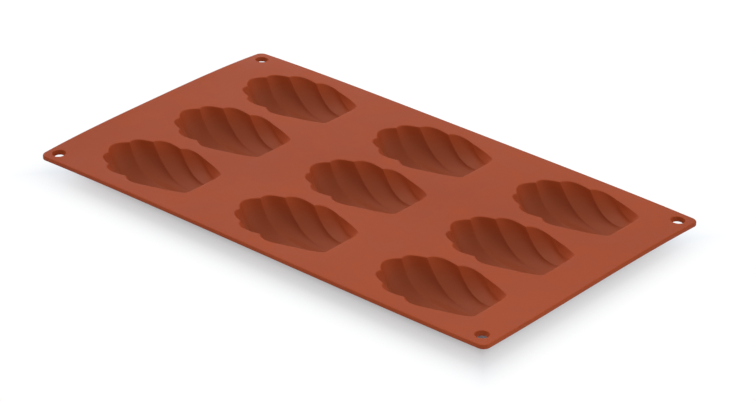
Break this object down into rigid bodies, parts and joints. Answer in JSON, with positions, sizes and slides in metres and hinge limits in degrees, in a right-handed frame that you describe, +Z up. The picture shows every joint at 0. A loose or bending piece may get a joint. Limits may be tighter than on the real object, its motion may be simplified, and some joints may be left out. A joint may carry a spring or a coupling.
{
  "type": "silicone madeleine mould",
  "caption": "Flexible silicone baking mould: a flat rounded sheet with rows of fluted shell-shaped cups for madeleines and a hanging hole in each corner.",
  "frame": {"origin": "centre of the footprint, on the plane that the cups stand on", "axes": "+X along the long side, towards the straight hinge ends of the shells; +Y across; +Z up, out of the open cups"},
  "size_m": [0.3, 0.17, 0.0182],
  "materials": {
    "silicone": "satin"
  },
  "bodies": {
    "root": {"mould": "silicone"}
  },
  "joints": []
}
